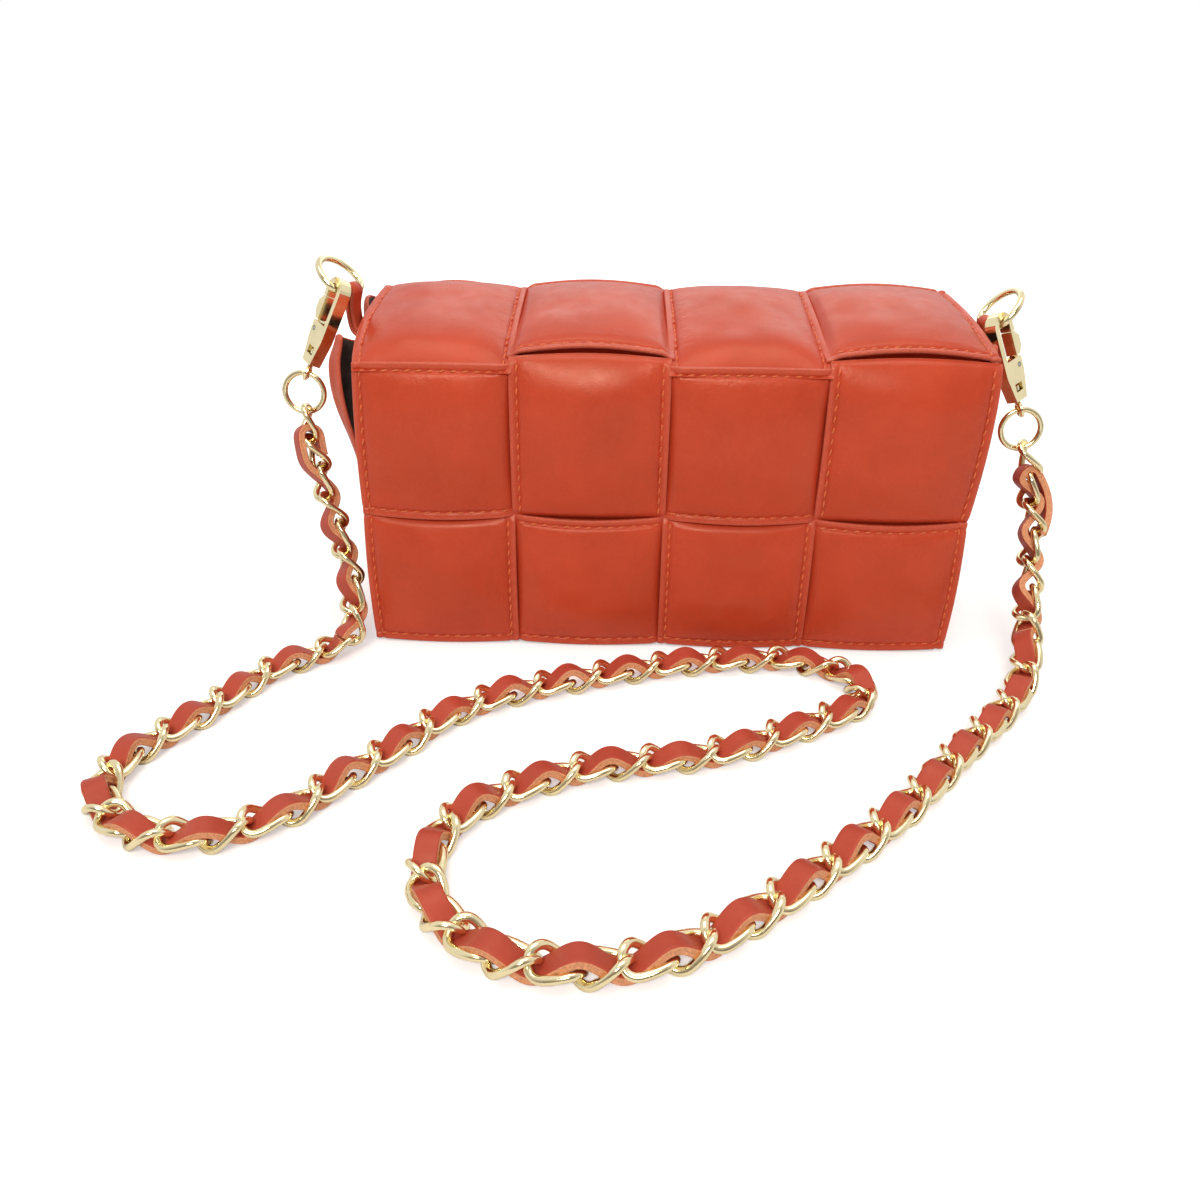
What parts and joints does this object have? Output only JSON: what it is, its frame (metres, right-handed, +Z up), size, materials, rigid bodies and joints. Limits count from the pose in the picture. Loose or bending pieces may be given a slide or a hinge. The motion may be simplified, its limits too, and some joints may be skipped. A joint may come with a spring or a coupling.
{
  "type": "leather shoulder bag",
  "caption": "Small box-shaped shoulder bag in padded woven leather with a full front flap and a metal chain and lace strap on snap hooks and D-rings.",
  "frame": {"origin": "on the ground, under the middle of the bag with its rings, without the strap", "axes": "+X along the bag's width, to the right as seen from the front; the front faces -Y; +Z up"},
  "size_m": [0.3339, 0.251, 0.1446],
  "materials": {
    "red_leather": "semi-gloss fine grain",
    "edge_leather": "satin, cut edges",
    "dark_lining": "matt",
    "gold_metal": "polished pale gold plate",
    "pin_steel": "plain",
    "snap_metal": "satin",
    "strap_lace": "satin, cut edges"
  },
  "bodies": {
    "root": {"back_pad_1_1": "red_leather", "back_pad_1_2": "red_leather", "back_pad_1_3": "red_leather", "back_pad_1_4": "red_leather", "back_pad_2_1": "red_leather", "back_pad_2_2": "red_leather", "back_pad_2_3": "red_leather", "back_pad_2_4": "red_leather", "back_wall": "dark_lining", "base_board": "dark_lining", "base_pad_1": "red_leather", "base_pad_2": "red_leather", "base_pad_3": "red_leather", "base_pad_4": "red_leather", "front_wall": "dark_lining", "left_pad_lower": "red_leather", "left_pad_upper": "red_leather", "left_tab": "edge_leather", "left_wall": "dark_lining", "right_pad_lower": "red_leather", "right_pad_upper": "red_leather", "right_tab": "edge_leather", "right_wall": "dark_lining", "snap_socket": "snap_metal", "strap_ground_run": "strap_lace", "strap_left_riser": "strap_lace", "strap_right_riser": "strap_lace"},
    "flap_top": {"top_pad_1": "red_leather", "top_pad_2": "red_leather", "top_pad_3": "red_leather", "top_pad_4": "red_leather", "flap_top_lining": "dark_lining"},
    "flap_front": {"front_pad_1_1": "red_leather", "front_pad_1_2": "red_leather", "front_pad_1_3": "red_leather", "front_pad_1_4": "red_leather", "front_pad_2_1": "red_leather", "front_pad_2_2": "red_leather", "front_pad_2_3": "red_leather", "front_pad_2_4": "red_leather", "flap_front_lining": "dark_lining", "snap_stud": "snap_metal"},
    "left_clasp": {"left_d_ring": "gold_metal", "left_hook": "gold_metal", "left_gate_pin": "pin_steel"},
    "left_gate_lever": {"left_gate": "gold_metal"},
    "left_swivel": {"left_swivel_eye": "gold_metal", "left_o_ring": "gold_metal"},
    "right_clasp": {"right_d_ring": "gold_metal", "right_hook": "gold_metal", "right_gate_pin": "pin_steel"},
    "right_gate_lever": {"right_gate": "gold_metal"},
    "right_swivel": {"right_swivel_eye": "gold_metal", "right_o_ring": "gold_metal"}
  },
  "joints": [
    {"name": "flap_lift", "type": "hinge", "parent": "root", "child": "flap_top", "pos_m": [0, 0.036, 0.12596], "axis": [-1, 0, 0], "range_deg": [0, 100]},
    {"name": "flap_fold", "type": "hinge", "parent": "flap_top", "child": "flap_front", "pos_m": [0, -0.036, 0.11026], "axis": [-1, 0, 0], "range_deg": [0, 80], "deforming": ["strap_ground_run"]},
    {"name": "left_clasp_swing", "type": "hinge", "parent": "root", "child": "left_clasp", "pos_m": [-0.1216, 0.0027, 0.13219], "axis": [0.309, 0.9511, 0], "range_deg": [-10, 30], "deforming": ["strap_left_riser"]},
    {"name": "left_gate_open", "type": "hinge", "parent": "left_clasp", "child": "left_gate_lever", "pos_m": [-0.13395, -0.0035, 0.11868], "axis": [0.6656, 0.6355, -0.3914], "range_deg": [0, 22], "stiffness_Nm_per_rad": 0.02},
    {"name": "left_swivel_turn", "type": "hinge", "parent": "left_clasp", "child": "left_swivel", "pos_m": [-0.13928, -0.00761, 0.10294], "axis": [0.4364, 0.094, 0.8948], "range_deg": [-60, 60], "deforming": ["strap_left_riser"]},
    {"name": "right_clasp_swing", "type": "hinge", "parent": "root", "child": "right_clasp", "pos_m": [0.1229, 0.0027, 0.12319], "axis": [0.1219, -0.9925, 0], "range_deg": [-10, 30], "deforming": ["strap_right_riser"]},
    {"name": "right_gate_open", "type": "hinge", "parent": "right_clasp", "child": "right_gate_lever", "pos_m": [0.13341, -0.00449, 0.10951], "axis": [0.5448, -0.778, 0.313], "range_deg": [0, 22], "stiffness_Nm_per_rad": 0.02},
    {"name": "right_swivel_turn", "type": "hinge", "parent": "right_clasp", "child": "right_swivel", "pos_m": [0.13749, -0.00815, 0.09329], "axis": [-0.3889, 0.0963, 0.9162], "range_deg": [-60, 60], "deforming": ["strap_right_riser"]}
  ]
}
